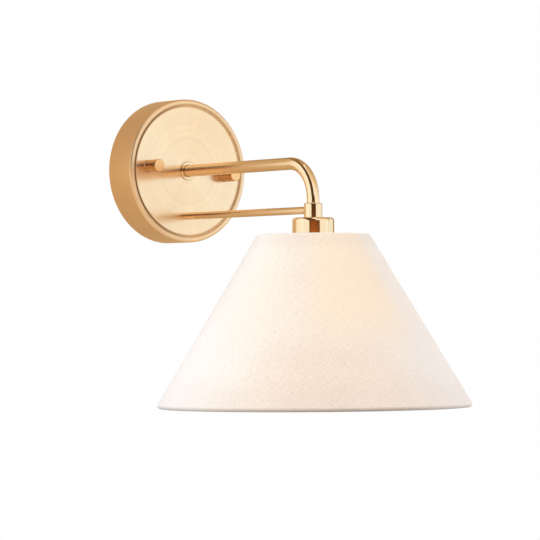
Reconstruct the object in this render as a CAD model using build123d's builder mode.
from build123d import *
import os
from math import cos, radians, sin

# Wall light: a round plate on the wall, a bent arm, a support rod and a conical cloth shade with its bulb.
#
# The wall is the plane y = 0 and the light stands out from it towards -Y. +Z is up and +X is to the right
# seen from the front. The origin is the middle of the round plate, on the wall. All sizes are millimetres.

# ---------------------------------------------------------------- driving dimensions
# Round plate
plate_radius = 60.0
plate_depth = 30.5  # from the wall to the front of its rim
plate_sheet = 1.2
plate_edge_round = 2.0
rim_width = 4.7  # flat ring round the sunk face, its rounding included
face_sink = 1.3
rim_edge_round = 0.5
face_corner_round = 0.4
plate_turn = 4.5  # degrees that the plate hangs clockwise about the arm, seen from the front

# Wall bracket behind the plate, and its two studs
bracket_length = 96.0
bracket_width = 20.0
bracket_sheet = 2.0
bracket_lift = 4.0  # height of the raised ends above the wall
bracket_bend_radius = 1.6
bracket_flat = 62.0  # length of the middle that lies on the wall
bracket_ramp = 3.0  # length of each step up to a raised end
cable_hole_radius = 7.0
wall_screw_circle = 50.0
wall_screw_hole_radius = 2.5
stud_spacing = 80.0
stud_radius = 2.0
stud_head_radius = 4.0
stud_head_height = 2.6
stud_tip = 41.0  # from the wall
stud_chamfer = 0.5
stud_nut_across_flats = 7.0
stud_nut_thickness = 3.2

# Thumb nuts on the studs, in front of the plate
thumb_nut_radius = 5.1
thumb_nut_front = 43.5  # from the wall
thumb_nut_chamfer = 0.4
nut_washer_radius = 4.5
nut_washer_thickness = 0.8

# Arm, its foot and its nut
arm_radius = 5.0
arm_wall = 1.0
arm_reach = 195.0  # from the wall to the upright axis of the lampholder
arm_bend_radius = 29.0
arm_foot = 21.0  # where the tube starts, from the wall
root_ring_radius = 7.5
root_ring_thickness = 1.2
root_ring_chamfer = 0.3
arm_washer_radius = 8.5
arm_washer_thickness = 0.8
arm_nut_across_flats = 14.0
arm_nut_thickness = 3.5

# Support rod under the arm
rod_radius = 3.0
rod_drop = 38.2  # below the arm, at the collar
rod_tail_radius = 2.0  # the thinner threaded end, inside the plate
rod_tail_length = 9.5
rod_washer_radius = 4.5
rod_washer_thickness = 0.8
rod_nut_across_flats = 7.0
rod_nut_thickness = 3.2
rod_socket_depth = 1.2

# Stiffening strap inside the plate
strap_width = 18.0
strap_sheet = 1.5
strap_top = 46.0
strap_bottom = 46.0

# Collar and brass cup above the shade
collar_radius = 7.3
collar_top = -32.7
collar_chamfer = 0.5
cup_top = -44.3
cup_radius = 16.7
cup_sheet = 1.0
cup_height = 26.0
cup_round = 2.5
tube_end = -54.0

# Lampholder
holder_radius = 14.0
holder_wall = 1.8
holder_neck_radius = 7.0
holder_neck_height = 4.7
holder_dome_height = 5.0
holder_dome_wall = 2.5  # measured upright
holder_split = -66.0  # where the top screws onto the body
holder_flange_radius = 16.5
holder_flange_thickness = 1.8
holder_bottom = -97.0
holder_shelf_reach = 2.2
holder_shelf_thickness = 1.5
thread_pitch = 2.0
thread_depth = 0.6
thread_turns = 10
insert_top = -64.0
insert_bottom = -72.0
terminal_offset = 6.0
terminal_width = 6.0
terminal_breadth = 5.0
terminal_height = 6.5
terminal_screw_radius = 1.5
shell_radius = 7.6
shell_sheet = 0.45
shell_length = 16.0
shell_hole_radius = 4.0
contact_shank_radius = 1.5
contact_head_radius = 2.6
contact_head_thickness = 1.0

# Bulb
bulb_length = 78.0
globe_radius = 22.5
globe_wall = 1.0
bulb_neck_radius = 13.2
bulb_waist_radius = 10.5
bulb_waist_drop = 23.0  # below the bulb's contact
bulb_cap_radius = 6.9
bulb_cap_length = 15.0
bulb_cap_sheet = 0.4
bulb_thread_pitch = 2.82
bulb_thread_depth = 0.45
bulb_insulator_height = 2.2
bulb_contact_radius = 2.4
bulb_contact_height = 0.8
bulb_contact_round = 0.4
bulb_board_radius = 11.0
bulb_board_thickness = 1.2

# Shade
shade_top = -57.4
shade_height = 138.0
shade_top_radius = 45.7
shade_bottom_radius = 125.0
hem_wire_radius = 1.5
cloth_thickness = 0.7
liner_thickness = 0.4
hem_turn = 8.0  # cloth turned in over the liner at each rim
spider_ring_radius = 22.0
spider_ring_bore_radius = 14.8
spider_ring_thickness = 1.5
spoke_radius = 1.5
spoke_start = 20.5
spoke_lift = 1.8  # its line above the ring's underside, where it starts
spoke_count = 3
shade_ring_radius = 18.5
shade_ring_hub_radius = 16.6
shade_ring_height = 8.0
shade_ring_flange = 2.0
shade_ring_notches = 8
shade_ring_notch_radius = 1.4

# Terminal block, screws and wires
block_length = 28.0
block_width = 17.0
block_depth = 13.0
block_height = 32.0  # its middle above the arm
block_round = 1.0
pole_pitch = 9.0
sleeve_radius = 2.4
sleeve_bore_radius = 1.4
sleeve_length = 15.0
clamp_screw_radius = 1.25
clamp_screw_offset = 4.2
block_screw_radius = 1.5
block_screw_head_radius = 2.7
block_screw_head_height = 1.6
earth_screw_drop = 18.0  # below the arm
earth_screw_radius = 2.0
earth_screw_head_radius = 2.6
earth_screw_head_height = 2.4
tag_radius = 4.0
tag_thickness = 0.8
tag_barrel_radius = 2.1
tag_barrel_length = 6.0
tag_bore_depth = 3.0
wire_radius = 1.2
wire_spacing = 2.6  # between the two wires in the arm
wire_bend_radius = 4.0
wire_lead = 3.6  # straight end before a bend, in the plate
wire_end_lead = 2.4  # the same, in the lampholder
wire_clear = 1.4  # between the wires and the bracket, behind the arm's foot
wire_turn_height = 12.6  # above the arm, where the wires turn towards it
wire_turn_spread = 2.1  # to each side of the arm, at that turn
earth_bend_radius = 2.8  # of the earth wire at its tag
earth_wire_depth = 1.5  # of the earth wire in its tag

# Clearances
fit_gap = 0.1  # round a shaft in its hole
bolt_gap = 0.3  # round a screw or rod tail in a drilled hole
run_gap = 0.15  # between a thread and the ring that turns on it
seat_gap = 0.1  # between stacked pieces that can move apart
body_gap = 0.3  # between a fixed piece and a moving piece
slot_depth = 0.6  # of a screwdriver slot
slot_width = 0.8

# ---------------------------------------------------------------- planes and derived places
turn_cos = cos(radians(plate_turn))
turn_sin = sin(radians(plate_turn))
# `front` looks at the wall from the room: local x runs right, y up and z out of the wall.
front = Plane(origin=(0, 0, 0), x_dir=(turn_cos, 0, -turn_sin), z_dir=(0, -1, 0))
# `level` holds half outlines of the turned pieces on the arm's axis: local x right, y out of the wall.
level = Plane(origin=(0, 0, 0), x_dir=front.x_dir, z_dir=-front.y_dir)
# `upright` holds half outlines of the pieces on the lampholder's axis: local x is the radius, y is up.
upright = Plane(origin=(0, -arm_reach, 0), x_dir=(1, 0, 0), z_dir=(0, -1, 0))
arm_axis = Axis((0, 0, 0), (0, -1, 0))
holder_axis = Axis((0, -arm_reach, 0), (0, 0, 1))

face_front = plate_depth - face_sink
face_back = face_front - plate_sheet
strap_front = face_back
strap_back = strap_front - strap_sheet
stud_places = [(-stud_spacing / 2, 0), (stud_spacing / 2, 0)]
bracket_raised = bracket_lift + bracket_sheet
block_back = strap_back - block_depth
pole_places = [-pole_pitch, 0, pole_pitch]
pole_depth = strap_back - block_depth / 2

cup_bottom = cup_top - cup_height
holder_top = cup_top - cup_sheet
flange_top = cup_bottom - seat_gap
flange_bottom = flange_top - holder_flange_thickness
thread_top = flange_bottom - thread_pitch
holder_bore_radius = holder_radius - holder_wall
spider_ring_top = flange_bottom - seat_gap
spider_ring_bottom = spider_ring_top - spider_ring_thickness
shade_ring_top = spider_ring_bottom - seat_gap
shade_ring_bottom = shade_ring_top - shade_ring_height

contact_bottom = insert_bottom - contact_head_thickness
bulb_top = contact_bottom - body_gap
bulb_bottom = bulb_top - bulb_length
globe_middle = bulb_bottom + globe_radius
globe_joint = globe_middle + (globe_radius**2 - bulb_neck_radius**2) ** 0.5
cap_top = bulb_top - bulb_contact_height - bulb_insulator_height
cap_bottom = cap_top - bulb_cap_length

shade_bottom = shade_top - shade_height
hem_radius = hem_wire_radius + seat_gap + cloth_thickness
top_hem = Vector(shade_top_radius - hem_radius, shade_top - hem_radius)
bottom_hem = Vector(shade_bottom_radius - hem_radius, shade_bottom + hem_radius)
slant = (bottom_hem - top_hem).normalized()
outward = Vector(-slant.Y, slant.X)
spoke_foot = Vector(spoke_start, spider_ring_bottom + spoke_lift)


def saw_profile(radius, depth, top, pitch, turns):
    """Crests and roots of a thread seen in section, from the top down."""
    points = []
    for turn in range(turns):
        points.append((radius, top - turn * pitch))
        points.append((radius - depth, top - (turn + 0.5) * pitch))
    points.append((radius, top - turns * pitch))
    return points


def skin(inner, outer, start, end):
    """Corners of a band that runs down the slant, between two distances out from the line of the hem wires."""
    return [start + outward * outer, end + outward * outer, end + outward * inner, start + outward * inner]


# ---------------------------------------------------------------- wall bracket, studs and their nuts
flat_half = bracket_flat / 2
raised_half = flat_half + bracket_ramp
middle_height = bracket_sheet / 2
raised_height = bracket_lift + bracket_sheet / 2

with BuildPart() as wall_bracket:
    with BuildSketch(level):
        with BuildLine():
            FilletPolyline(
                (-bracket_length / 2, raised_height),
                (-raised_half, raised_height),
                (-flat_half, middle_height),
                (flat_half, middle_height),
                (raised_half, raised_height),
                (bracket_length / 2, raised_height),
                radius=bracket_bend_radius,
            )
        trace(line_width=bracket_sheet)
    extrude(amount=bracket_width / 2, both=True)
    with Locations(front):
        Hole(cable_hole_radius)
        with PolarLocations(wall_screw_circle / 2, 2):
            Hole(wall_screw_hole_radius)
        with Locations(*stud_places):
            Hole(stud_radius + fit_gap)
wall_bracket.part.label = "wall_bracket"

with BuildPart() as bracket_studs:
    with BuildSketch(front.offset(bracket_lift - stud_head_height)):
        with Locations(*stud_places):
            Circle(stud_head_radius)
    extrude(amount=stud_head_height)
    with BuildSketch(front.offset(bracket_lift)):
        with Locations(*stud_places):
            Circle(stud_radius)
    extrude(amount=stud_tip - bracket_lift)
    chamfer(bracket_studs.edges().group_by(Axis.Y)[0], stud_chamfer)
bracket_studs.part.label = "bracket_studs"

with BuildPart() as stud_lock_nuts:
    with BuildSketch(front.offset(bracket_raised)):
        with Locations(*stud_places):
            RegularPolygon(stud_nut_across_flats / 2, 6, major_radius=False)
            Circle(stud_radius + fit_gap, mode=Mode.SUBTRACT)
    extrude(amount=stud_nut_thickness)
stud_lock_nuts.part.label = "stud_lock_nuts"

# ---------------------------------------------------------------- round plate
rim_inner = plate_radius - rim_width
wall_inner = plate_radius - plate_sheet

with BuildPart() as round_plate:
    with BuildSketch(level) as plate_section:
        with BuildLine():
            Polyline(
                (wall_inner, 0),
                (plate_radius, 0),
                (plate_radius, plate_depth),
                (rim_inner, plate_depth),
                (rim_inner, face_front),
                (0, face_front),
                (0, face_back),
                (rim_inner + plate_sheet, face_back),
                (rim_inner + plate_sheet, plate_depth - plate_sheet),
                (wall_inner, plate_depth - plate_sheet),
                close=True,
            )
        make_face()
        for corner, rounding in (
            ((plate_radius, plate_depth), plate_edge_round),
            ((rim_inner, plate_depth), rim_edge_round),
            ((rim_inner, face_front), face_corner_round),
        ):
            fillet(plate_section.vertices().sort_by_distance(corner)[0], rounding)
    revolve(axis=arm_axis)
    with Locations(front.offset(face_back)):
        Hole(arm_radius + fit_gap)
        with Locations(*stud_places):
            Hole(stud_radius + bolt_gap)
        with Locations((0, -rod_drop)):
            Hole(rod_tail_radius + bolt_gap)
round_plate.part.label = "round_plate"

with BuildPart() as inner_strap:
    with BuildSketch(front.offset(strap_back)):
        with Locations((0, (strap_top - strap_bottom) / 2)):
            SlotCenterToCenter(strap_top + strap_bottom - strap_width, strap_width, rotation=90)
        with Locations((0, 0)):
            Circle(arm_radius + fit_gap, mode=Mode.SUBTRACT)
        with Locations((0, -rod_drop)):
            Circle(rod_tail_radius + bolt_gap, mode=Mode.SUBTRACT)
        with Locations((0, -earth_screw_drop)):
            Circle(earth_screw_radius + fit_gap, mode=Mode.SUBTRACT)
        with Locations((pole_pitch / 2, block_height)):
            Circle(block_screw_radius + fit_gap, mode=Mode.SUBTRACT)
    extrude(amount=strap_sheet)
inner_strap.part.label = "inner_strap"

# ---------------------------------------------------------------- arm
with BuildPart() as arm_tube:
    with BuildLine() as arm_line:
        FilletPolyline(
            (0, -arm_foot, 0),
            (0, -arm_reach, 0),
            (0, -arm_reach, tube_end),
            radius=arm_bend_radius,
        )
    with BuildSketch(Plane(origin=(0, -arm_foot, 0), z_dir=(0, -1, 0))):
        Circle(arm_radius)
        Circle(arm_radius - arm_wall, mode=Mode.SUBTRACT)
    sweep(path=arm_line.wire())
arm_tube.part.label = "arm_tube"

with BuildPart() as arm_root_ring:
    with BuildSketch(front.offset(face_front)):
        Circle(root_ring_radius)
        Circle(arm_radius + fit_gap, mode=Mode.SUBTRACT)
    extrude(amount=root_ring_thickness)
    chamfer(arm_root_ring.edges().group_by(Axis.Y)[0].sort_by(SortBy.RADIUS)[-1], root_ring_chamfer)
arm_root_ring.part.label = "arm_root_ring"

with BuildPart() as arm_washer:
    with BuildSketch(front.offset(strap_back - arm_washer_thickness)):
        Circle(arm_washer_radius)
        Circle(arm_radius + fit_gap, mode=Mode.SUBTRACT)
    extrude(amount=arm_washer_thickness)
arm_washer.part.label = "arm_washer"

with BuildPart() as arm_lock_nut:
    with BuildSketch(front.offset(strap_back - arm_washer_thickness - arm_nut_thickness)):
        RegularPolygon(arm_nut_across_flats / 2, 6, major_radius=False)
        Circle(arm_radius + fit_gap, mode=Mode.SUBTRACT)
    extrude(amount=arm_nut_thickness)
arm_lock_nut.part.label = "arm_lock_nut"

# ---------------------------------------------------------------- support rod
# The rod runs straight from its hole in the turned plate to the collar, so it leans a little sideways.
rod_root = front.from_local_coords(Vector(0, -rod_drop, face_front + seat_gap))
rod_goal = Vector(0, -arm_reach, -rod_drop)
rod_way = (rod_goal - rod_root).normalized()
rod_plane = Plane(origin=rod_root, x_dir=front.x_dir.cross(rod_way).cross(rod_way) * -1, z_dir=rod_way)
rod_length = (rod_goal - rod_root).length - collar_radius + rod_socket_depth - seat_gap
strap_to_root = face_front + seat_gap - strap_back

with BuildPart() as support_rod:
    with BuildSketch(rod_plane):
        Circle(rod_radius)
    extrude(amount=rod_length)
    with BuildSketch(rod_plane):
        Circle(rod_tail_radius)
    extrude(amount=-rod_tail_length)
support_rod.part.label = "support_rod"

with BuildPart() as rod_washer:
    with BuildSketch(rod_plane.offset(-strap_to_root - seat_gap - rod_washer_thickness)):
        Circle(rod_washer_radius)
        Circle(rod_tail_radius + fit_gap, mode=Mode.SUBTRACT)
    extrude(amount=rod_washer_thickness)
rod_washer.part.label = "rod_washer"

with BuildPart() as rod_nut:
    rod_nut_seat = strap_to_root + seat_gap + rod_washer_thickness
    with BuildSketch(rod_plane.offset(-rod_nut_seat - rod_nut_thickness)):
        RegularPolygon(rod_nut_across_flats / 2, 6, major_radius=False)
        Circle(rod_tail_radius + fit_gap, mode=Mode.SUBTRACT)
    extrude(amount=rod_nut_thickness)
rod_nut.part.label = "rod_nut"

# ---------------------------------------------------------------- collar and brass cup
with BuildPart() as arm_collar:
    with BuildSketch(Plane.XY.offset(cup_top)):
        with Locations((0, -arm_reach)):
            Circle(collar_radius)
    extrude(amount=collar_top - cup_top)
    chamfer(arm_collar.edges().group_by(Axis.Z)[-1], collar_chamfer)
    with Locations((0, -arm_reach, cup_top)):
        Hole(arm_radius + fit_gap)
    with BuildSketch(rod_plane.offset(rod_length + seat_gap)):
        Circle(rod_radius + fit_gap)
    extrude(amount=-collar_radius, mode=Mode.SUBTRACT)
arm_collar.part.label = "arm_collar"

with BuildPart() as holder_cup:
    with BuildSketch(upright) as cup_section:
        with BuildLine():
            Polyline(
                (arm_radius + fit_gap, cup_top),
                (cup_radius, cup_top),
                (cup_radius, cup_bottom),
                (cup_radius - cup_sheet, cup_bottom),
                (cup_radius - cup_sheet, cup_top - cup_sheet),
                (arm_radius + fit_gap, cup_top - cup_sheet),
                close=True,
            )
        make_face()
        for corner, rounding in (
            ((cup_radius, cup_top), cup_round),
            ((cup_radius - cup_sheet, cup_top - cup_sheet), cup_round - cup_sheet),
        ):
            fillet(cup_section.vertices().sort_by_distance(corner)[0], rounding)
    revolve(axis=holder_axis)
holder_cup.part.label = "holder_cup"

# ---------------------------------------------------------------- lampholder
neck_bottom = holder_top - holder_neck_height
dome_bottom = neck_bottom - holder_dome_height

with BuildPart() as holder_top_piece:
    with BuildSketch(upright):
        with BuildLine():
            Polyline(
                (arm_radius + fit_gap, holder_top),
                (holder_neck_radius, holder_top),
                (holder_neck_radius, neck_bottom),
                (holder_radius, dome_bottom),
                (holder_radius, holder_split),
                (holder_bore_radius, holder_split),
                (holder_bore_radius, dome_bottom - holder_dome_wall),
                (arm_radius + fit_gap, neck_bottom - holder_dome_wall),
                close=True,
            )
        make_face()
    revolve(axis=holder_axis)
holder_top_piece.part.label = "holder_top"

holder_thread = saw_profile(holder_radius, thread_depth, thread_top, thread_pitch, thread_turns)
shelf_top = insert_bottom
shelf_bottom = shelf_top - holder_shelf_thickness
shelf_radius = holder_bore_radius - holder_shelf_reach

with BuildPart() as holder_body:
    with BuildSketch(upright):
        with BuildLine():
            Polyline(
                (holder_bore_radius, holder_split),
                (holder_radius, holder_split),
                (holder_radius, flange_top),
                (holder_flange_radius, flange_top),
                (holder_flange_radius, flange_bottom),
                (holder_radius, flange_bottom),
                *holder_thread,
                (holder_radius - thread_depth, holder_bottom),
                (holder_bore_radius, holder_bottom),
                (holder_bore_radius, shelf_bottom),
                (shelf_radius, shelf_bottom),
                (shelf_radius, shelf_top),
                (holder_bore_radius, shelf_top),
                close=True,
            )
        make_face()
    revolve(axis=holder_axis)
holder_body.part.label = "holder_body"

terminal_places = [
    (-terminal_offset, -arm_reach),
    (terminal_offset, -arm_reach),
]
terminal_top = insert_top
terminal_bottom = terminal_top - terminal_height
terminal_middle = (terminal_top + terminal_bottom) / 2
terminal_screw_start = terminal_offset + wire_radius + body_gap
terminal_screw_end = holder_bore_radius - body_gap

with BuildPart() as holder_insert:
    with BuildSketch(Plane.XY.offset(insert_bottom)):
        with Locations((0, -arm_reach)):
            Circle(holder_bore_radius - fit_gap)
            Circle(contact_shank_radius + fit_gap, mode=Mode.SUBTRACT)
    extrude(amount=insert_top - insert_bottom)
    with BuildSketch(Plane.XY.offset(terminal_bottom - fit_gap)):
        with Locations((0, -arm_reach)):
            Rectangle(2 * holder_radius, 2 * (terminal_screw_radius + fit_gap))
            Rectangle(2 * terminal_offset, 2 * holder_radius, mode=Mode.SUBTRACT)
        with Locations(*terminal_places):
            Rectangle(terminal_width + 2 * fit_gap, terminal_breadth + 2 * fit_gap)
    extrude(amount=terminal_height + 2 * fit_gap, mode=Mode.SUBTRACT)
holder_insert.part.label = "holder_insert"

with BuildPart() as holder_terminals:
    with BuildSketch(Plane.XY.offset(terminal_bottom)):
        with Locations(*terminal_places):
            Rectangle(terminal_width, terminal_breadth)
            Circle(sleeve_bore_radius, mode=Mode.SUBTRACT)
    extrude(amount=terminal_height)
    for side in (-1, 1):
        screw_bore = Plane(
            origin=(side * terminal_offset, -arm_reach, terminal_middle), z_dir=(side, 0, 0)
        )
        with BuildSketch(screw_bore):
            Circle(terminal_screw_radius + fit_gap)
        extrude(amount=terminal_width, mode=Mode.SUBTRACT)
holder_terminals.part.label = "holder_terminals"

with BuildPart() as terminal_screws:
    for side in (-1, 1):
        screw_plane = Plane(
            origin=(side * terminal_screw_start, -arm_reach, terminal_middle), z_dir=(side, 0, 0)
        )
        with BuildSketch(screw_plane):
            Circle(terminal_screw_radius)
        extrude(amount=terminal_screw_end - terminal_screw_start)
        with BuildSketch(screw_plane.offset(terminal_screw_end - terminal_screw_start)):
            Rectangle(slot_width, 2 * terminal_screw_radius)
        extrude(amount=-slot_depth, mode=Mode.SUBTRACT)
terminal_screws.part.label = "terminal_screws"

with BuildPart() as screw_shell:
    with BuildSketch(upright):
        with BuildLine():
            Polyline(
                (shell_hole_radius, insert_bottom - seat_gap),
                (shell_radius, insert_bottom - seat_gap),
                (shell_radius, insert_bottom - shell_length),
                (shell_radius - shell_sheet, insert_bottom - shell_length),
                (shell_radius - shell_sheet, insert_bottom - seat_gap - shell_sheet),
                (shell_hole_radius, insert_bottom - seat_gap - shell_sheet),
                close=True,
            )
        make_face()
    revolve(axis=holder_axis)
screw_shell.part.label = "screw_shell"

with BuildPart() as centre_contact:
    with BuildSketch(Plane.XY.offset(contact_bottom)):
        with Locations((0, -arm_reach)):
            Circle(contact_head_radius)
    extrude(amount=contact_head_thickness)
    with BuildSketch(Plane.XY.offset(insert_bottom)):
        with Locations((0, -arm_reach)):
            Circle(contact_shank_radius)
    extrude(amount=insert_top - insert_bottom)
centre_contact.part.label = "centre_contact"

# ---------------------------------------------------------------- terminal block inside the plate
with BuildPart() as terminal_block:
    with BuildSketch(front.offset(block_back)):
        with Locations((0, block_height)):
            RectangleRounded(block_length, block_width, block_round)
            with Locations((pole_pitch / 2, 0)):
                Circle(block_screw_radius + fit_gap, mode=Mode.SUBTRACT)
    extrude(amount=block_depth)
    with BuildSketch(front.offset(block_back)):
        with Locations((0, block_height)):
            with GridLocations(pole_pitch, 2 * clamp_screw_offset, 3, 2):
                Circle(clamp_screw_radius + bolt_gap)
    extrude(amount=block_depth / 2, mode=Mode.SUBTRACT)
    for pole in pole_places:
        sleeve_origin = front.from_local_coords(Vector(pole, block_height, pole_depth))
        with BuildSketch(Plane(origin=sleeve_origin, z_dir=front.y_dir)):
            Circle(sleeve_radius + fit_gap)
        extrude(amount=block_width, both=True, mode=Mode.SUBTRACT)
terminal_block.part.label = "terminal_block"

with BuildPart() as block_sleeves:
    for pole in pole_places:
        sleeve_origin = front.from_local_coords(Vector(pole, block_height, pole_depth))
        with BuildSketch(Plane(origin=sleeve_origin, z_dir=front.y_dir)):
            Circle(sleeve_radius)
            Circle(sleeve_bore_radius, mode=Mode.SUBTRACT)
        extrude(amount=sleeve_length / 2, both=True)
    with BuildSketch(front.offset(block_back)):
        with Locations((0, block_height)):
            with GridLocations(pole_pitch, 2 * clamp_screw_offset, 3, 2):
                Circle(clamp_screw_radius + fit_gap)
    extrude(amount=block_depth / 2, mode=Mode.SUBTRACT)
block_sleeves.part.label = "block_sleeves"

clamp_screw_length = block_depth / 2 - wire_radius - body_gap - slot_depth

with BuildPart() as clamp_screws:
    with BuildSketch(front.offset(block_back + slot_depth)):
        with Locations((0, block_height)):
            with GridLocations(pole_pitch, 2 * clamp_screw_offset, 3, 2):
                Circle(clamp_screw_radius)
    extrude(amount=clamp_screw_length)
    with BuildSketch(front.offset(block_back + slot_depth)):
        with Locations((0, block_height)):
            with GridLocations(pole_pitch, 2 * clamp_screw_offset, 3, 2):
                Rectangle(2 * clamp_screw_radius, slot_width)
    extrude(amount=slot_depth, mode=Mode.SUBTRACT)
clamp_screws.part.label = "clamp_screws"

with BuildPart() as block_screw:
    with BuildSketch(front.offset(block_back - block_screw_head_height)):
        with Locations((pole_pitch / 2, block_height)):
            Circle(block_screw_head_radius)
    extrude(amount=block_screw_head_height)
    with BuildSketch(front.offset(block_back)):
        with Locations((pole_pitch / 2, block_height)):
            Circle(block_screw_radius)
    extrude(amount=block_depth + strap_sheet - seat_gap)
    with BuildSketch(front.offset(block_back - block_screw_head_height)):
        with Locations((pole_pitch / 2, block_height)):
            Rectangle(2 * block_screw_head_radius, slot_width)
    extrude(amount=slot_depth, mode=Mode.SUBTRACT)
block_screw.part.label = "block_screw"

# ---------------------------------------------------------------- earth screw, tag and the three wires
tag_back = strap_back - tag_thickness
barrel_depth = strap_back - tag_barrel_radius
barrel_start = tag_radius - tag_thickness / 2
barrel_end = barrel_start + tag_barrel_length

with BuildPart() as earth_tag:
    with BuildSketch(front.offset(tag_back)):
        with Locations((0, -earth_screw_drop)):
            Circle(tag_radius)
    extrude(amount=tag_thickness)
    barrel_origin = front.from_local_coords(Vector(barrel_start, -earth_screw_drop, barrel_depth))
    with BuildSketch(Plane(origin=barrel_origin, z_dir=front.x_dir)):
        Circle(tag_barrel_radius)
    extrude(amount=tag_barrel_length)
    with BuildSketch(Plane(origin=barrel_origin, z_dir=front.x_dir).offset(tag_barrel_length)):
        Circle(wire_radius + fit_gap)
    extrude(amount=-tag_bore_depth, mode=Mode.SUBTRACT)
    with Locations(front.offset(tag_back)):
        with Locations((0, -earth_screw_drop)):
            Hole(earth_screw_radius + fit_gap)
earth_tag.part.label = "earth_tag"

with BuildPart() as earth_screw:
    with BuildSketch(front.offset(tag_back - earth_screw_head_height)):
        with Locations((0, -earth_screw_drop)):
            Circle(earth_screw_head_radius)
    extrude(amount=earth_screw_head_height)
    with BuildSketch(front.offset(tag_back)):
        with Locations((0, -earth_screw_drop)):
            Circle(earth_screw_radius)
    extrude(amount=tag_thickness + strap_sheet - seat_gap)
    with BuildSketch(front.offset(tag_back - earth_screw_head_height)):
        with Locations((0, -earth_screw_drop)):
            Rectangle(2 * earth_screw_head_radius, slot_width)
    extrude(amount=slot_depth, mode=Mode.SUBTRACT)
earth_screw.part.label = "earth_screw"

sleeve_mouth = block_height - sleeve_length / 2
wire_entry = sleeve_mouth + sleeve_bore_radius
wire_depth = bracket_raised + wire_clear + wire_radius


def plate_point(right, high, out):
    """A point inside the plate, from its turned axes to the light's own."""
    return front.from_local_coords(Vector(right, high, out))


def arm_wire_route(side, pole):
    """From a sleeve of the terminal block, down behind the arm's foot, along the arm and to a terminal."""
    in_arm = Vector(side * wire_spacing / 2, 0, 0)
    return [
        plate_point(pole, wire_entry, pole_depth),
        plate_point(pole, sleeve_mouth - wire_lead, pole_depth),
        plate_point(side * wire_turn_spread, wire_turn_height, wire_depth),
        in_arm + Vector(0, -wire_depth, 0),
        in_arm + Vector(0, -arm_reach, 0),
        in_arm + Vector(0, -arm_reach, tube_end - wire_end_lead),
        Vector(side * terminal_offset, -arm_reach, insert_top + wire_end_lead),
        Vector(side * terminal_offset, -arm_reach, terminal_middle),
    ]


arm_wire_radii = [
    wire_bend_radius,
    wire_bend_radius,
    wire_bend_radius,
    arm_bend_radius,
    wire_bend_radius,
    wire_bend_radius,
]

with BuildPart() as live_wire:
    with BuildLine() as live_line:
        FilletPolyline(*arm_wire_route(-1, -pole_pitch), radius=arm_wire_radii)
    with BuildSketch(Plane(origin=live_line.wire() @ 0, z_dir=live_line.wire() % 0)):
        Circle(wire_radius)
    sweep(path=live_line.wire())
live_wire.part.label = "live_wire"

with BuildPart() as neutral_wire:
    with BuildLine() as neutral_line:
        FilletPolyline(*arm_wire_route(1, 0), radius=arm_wire_radii)
    with BuildSketch(Plane(origin=neutral_line.wire() @ 0, z_dir=neutral_line.wire() % 0)):
        Circle(wire_radius)
    sweep(path=neutral_line.wire())
neutral_wire.part.label = "neutral_wire"

earth_side = arm_washer_radius + wire_lead

with BuildPart() as earth_wire:
    with BuildLine() as earth_line:
        FilletPolyline(
            plate_point(pole_pitch, wire_entry, pole_depth),
            plate_point(pole_pitch, sleeve_mouth - wire_lead, pole_depth),
            plate_point(earth_side, arm_radius, pole_depth),
            plate_point(earth_side + wire_lead, -earth_screw_drop, barrel_depth),
            plate_point(barrel_end - earth_wire_depth, -earth_screw_drop, barrel_depth),
            radius=[wire_bend_radius, wire_bend_radius, earth_bend_radius],
        )
    with BuildSketch(Plane(origin=earth_line.wire() @ 0, z_dir=earth_line.wire() % 0)):
        Circle(wire_radius)
    sweep(path=earth_line.wire())
earth_wire.part.label = "earth_wire"

# ---------------------------------------------------------------- thumb nuts and their washers
nut_back = face_front + nut_washer_thickness
nut_bore_end = stud_tip + body_gap


def nut_washer(place):
    """A thin ring between the plate and a thumb nut."""
    with BuildPart() as washer:
        with BuildSketch(front.offset(face_front)):
            with Locations(place):
                Circle(nut_washer_radius)
                Circle(stud_radius + fit_gap, mode=Mode.SUBTRACT)
        extrude(amount=nut_washer_thickness)
    return washer


def thumb_nut(place):
    """A plain round cap nut with a blind bore for the stud."""
    with BuildPart() as nut:
        with BuildSketch(front.offset(nut_back)):
            with Locations(place):
                Circle(thumb_nut_radius)
        extrude(amount=thumb_nut_front - nut_back)
        chamfer(nut.edges().group_by(Axis.Y)[0], thumb_nut_chamfer)
        with BuildSketch(front.offset(nut_back)):
            with Locations(place):
                Circle(stud_radius + fit_gap)
        extrude(amount=nut_bore_end - nut_back, mode=Mode.SUBTRACT)
    return nut


left_nut_washer = nut_washer(stud_places[0])
left_nut_washer.part.label = "left_nut_washer"
right_nut_washer = nut_washer(stud_places[1])
right_nut_washer.part.label = "right_nut_washer"
left_thumb_nut = thumb_nut(stud_places[0])
left_thumb_nut.part.label = "left_thumb_nut"
right_thumb_nut = thumb_nut(stud_places[1])
right_thumb_nut.part.label = "right_thumb_nut"

# ---------------------------------------------------------------- shade
skin_outer = hem_radius
skin_inner = hem_radius - cloth_thickness
liner_outer = skin_inner - seat_gap / 2
liner_inner = liner_outer - liner_thickness
flap_outer = liner_inner - seat_gap / 2
flap_inner = flap_outer - cloth_thickness
wire_pocket_radius = hem_wire_radius + seat_gap


def spoke_plane(number):
    """A plane at the foot of one spoke, facing along it towards the upper hem wire."""
    angle = radians(90 + number * 360 / spoke_count)
    across = Vector(cos(angle), sin(angle), 0)
    foot = Vector(0, -arm_reach, spoke_foot.Y) + across * spoke_foot.X
    tip = Vector(0, -arm_reach, top_hem.Y) + across * top_hem.X
    return Plane(origin=foot, z_dir=tip - foot)


spoke_length = (top_hem - spoke_foot).length

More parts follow.
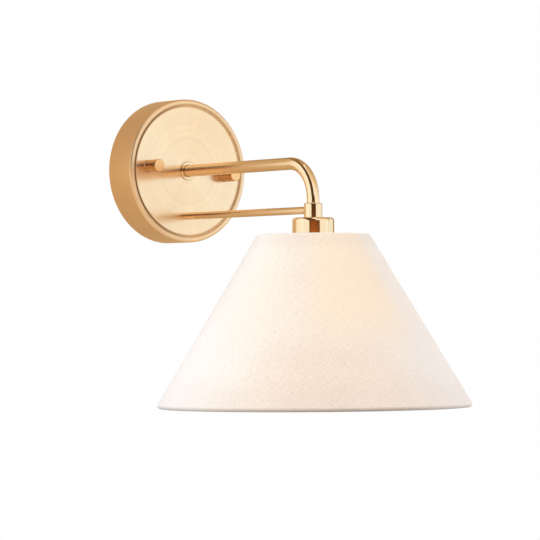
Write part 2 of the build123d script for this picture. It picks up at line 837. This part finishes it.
with BuildPart() as shade_cloth:
    with BuildSketch(upright):
        with BuildLine():
            Polyline(*skin(skin_inner, skin_outer, top_hem, bottom_hem), close=True)
        make_face()
        with BuildLine():
            Polyline(*skin(flap_inner, flap_outer, top_hem, top_hem + slant * hem_turn), close=True)
        make_face()
        with BuildLine():
            Polyline(*skin(flap_inner, flap_outer, bottom_hem - slant * hem_turn, bottom_hem), close=True)
        make_face()
        with Locations(top_hem, bottom_hem):
            Circle(hem_radius)
            Circle(wire_pocket_radius, mode=Mode.SUBTRACT)
    revolve(axis=holder_axis)
    for number in range(spoke_count):
        with BuildSketch(spoke_plane(number)):
            Circle(spoke_radius + seat_gap)
        extrude(amount=spoke_length, mode=Mode.SUBTRACT)
shade_cloth.part.label = "shade_cloth"

with BuildPart() as shade_liner:
    liner_start = top_hem + slant * (hem_radius + seat_gap)
    liner_end = bottom_hem - slant * (hem_radius + seat_gap)
    with BuildSketch(upright):
        with BuildLine():
            Polyline(*skin(liner_inner, liner_outer, liner_start, liner_end), close=True)
        make_face()
    revolve(axis=holder_axis)
    for number in range(spoke_count):
        with BuildSketch(spoke_plane(number)):
            Circle(spoke_radius + seat_gap)
        extrude(amount=spoke_length, mode=Mode.SUBTRACT)
shade_liner.part.label = "shade_liner"

with BuildPart() as shade_spider:
    with BuildSketch(Plane.XY.offset(spider_ring_bottom)):
        with Locations((0, -arm_reach)):
            Circle(spider_ring_radius)
            Circle(spider_ring_bore_radius, mode=Mode.SUBTRACT)
    extrude(amount=spider_ring_thickness)
    with BuildSketch(upright):
        with Locations(top_hem):
            Circle(hem_wire_radius)
    revolve(axis=holder_axis)
    for number in range(spoke_count):
        with BuildSketch(spoke_plane(number)):
            Circle(spoke_radius)
        extrude(amount=spoke_length)
shade_spider.part.label = "shade_spider"

with BuildPart() as bottom_wire:
    with BuildSketch(upright):
        with Locations(bottom_hem):
            Circle(hem_wire_radius)
    revolve(axis=holder_axis)
bottom_wire.part.label = "bottom_wire"

with BuildPart() as shade_ring:
    ring_bore_radius = holder_radius + run_gap
    with BuildSketch(Plane.XY.offset(shade_ring_bottom)):
        with Locations((0, -arm_reach)):
            Circle(shade_ring_hub_radius)
            with PolarLocations(shade_ring_hub_radius, shade_ring_notches):
                Circle(shade_ring_notch_radius, mode=Mode.SUBTRACT)
    extrude(amount=shade_ring_height)
    with BuildSketch(Plane.XY.offset(shade_ring_top - shade_ring_flange)):
        with Locations((0, -arm_reach)):
            Circle(shade_ring_radius)
    extrude(amount=shade_ring_flange)
    with Locations((0, -arm_reach, shade_ring_top)):
        Hole(ring_bore_radius)
shade_ring.part.label = "shade_ring"

# ---------------------------------------------------------------- bulb
cap_turns = int(bulb_cap_length / bulb_thread_pitch)
cap_thread_top = cap_top - (bulb_cap_length - cap_turns * bulb_thread_pitch) / 2
cap_thread = saw_profile(
    bulb_cap_radius, bulb_thread_depth, cap_thread_top, bulb_thread_pitch, cap_turns
)
cap_bore_radius = bulb_cap_radius - bulb_thread_depth - bulb_cap_sheet
waist_level = bulb_top - bulb_waist_drop

with BuildPart() as bulb_cap:
    with BuildSketch(upright):
        with BuildLine():
            Polyline(
                (cap_bore_radius, cap_top),
                (bulb_cap_radius - bulb_thread_depth, cap_top),
                *cap_thread,
                (bulb_cap_radius, cap_bottom),
                (cap_bore_radius, cap_bottom),
                close=True,
            )
        make_face()
    revolve(axis=holder_axis)
bulb_cap.part.label = "bulb_cap"

with BuildPart() as bulb_insulator:
    with BuildSketch(upright):
        with BuildLine():
            Polyline(
                (0, cap_top - bulb_cap_sheet),
                (cap_bore_radius, cap_top - bulb_cap_sheet),
                (cap_bore_radius, cap_top),
                (bulb_contact_radius, cap_top + bulb_insulator_height),
                (0, cap_top + bulb_insulator_height),
                close=True,
            )
        make_face()
    revolve(axis=holder_axis)
bulb_insulator.part.label = "bulb_insulator"

with BuildPart() as bulb_contact:
    with BuildSketch(Plane.XY.offset(bulb_top - bulb_contact_height)):
        with Locations((0, -arm_reach)):
            Circle(bulb_contact_radius)
    extrude(amount=bulb_contact_height)
    fillet(bulb_contact.edges().group_by(Axis.Z)[-1], bulb_contact_round)
bulb_contact.part.label = "bulb_contact"

with BuildPart() as bulb_housing:
    with BuildSketch(upright):
        with BuildLine():
            Polyline(
                (0, cap_bottom),
                (bulb_cap_radius + bulb_cap_sheet, cap_bottom),
                (bulb_waist_radius, waist_level),
                (bulb_neck_radius, globe_joint),
                (0, globe_joint),
                close=True,
            )
        make_face()
    revolve(axis=holder_axis)
bulb_housing.part.label = "bulb_housing"

with BuildPart() as bulb_board:
    with BuildSketch(Plane.XY.offset(globe_joint - bulb_board_thickness)):
        with Locations((0, -arm_reach)):
            Circle(bulb_board_radius)
    extrude(amount=bulb_board_thickness)
bulb_board.part.label = "bulb_board"

with BuildPart() as bulb_globe:
    with Locations((0, -arm_reach, globe_middle)):
        Sphere(globe_radius)
        Sphere(globe_radius - globe_wall, mode=Mode.SUBTRACT)
    with BuildSketch(Plane.XY.offset(globe_joint)):
        with Locations((0, -arm_reach)):
            Circle(globe_radius)
    extrude(amount=globe_radius, mode=Mode.SUBTRACT)
bulb_globe.part.label = "bulb_globe"

# ---------------------------------------------------------------- write the pieces
pieces = [
    wall_bracket,
    bracket_studs,
    stud_lock_nuts,
    round_plate,
    inner_strap,
    arm_tube,
    arm_root_ring,
    arm_washer,
    arm_lock_nut,
    support_rod,
    rod_washer,
    rod_nut,
    arm_collar,
    holder_cup,
    holder_top_piece,
    holder_body,
    holder_insert,
    holder_terminals,
    terminal_screws,
    screw_shell,
    centre_contact,
    terminal_block,
    block_sleeves,
    clamp_screws,
    block_screw,
    earth_tag,
    earth_screw,
    live_wire,
    neutral_wire,
    earth_wire,
    left_nut_washer,
    right_nut_washer,
    left_thumb_nut,
    right_thumb_nut,
    shade_cloth,
    shade_liner,
    shade_spider,
    bottom_wire,
    shade_ring,
    bulb_cap,
    bulb_insulator,
    bulb_contact,
    bulb_housing,
    bulb_board,
    bulb_globe,
]

os.makedirs("parts", exist_ok=True)
for piece in pieces:
    export_step(piece.part, f"parts/{piece.part.label}.step")
    print(piece.part.label, "solids", len(piece.part.solids()), "volume", round(piece.part.volume, 1))
for name, line in (("live", live_line), ("neutral", neutral_line), ("earth", earth_line)):
    print(name, "wire", round(line.wire().length, 1), "mm long")
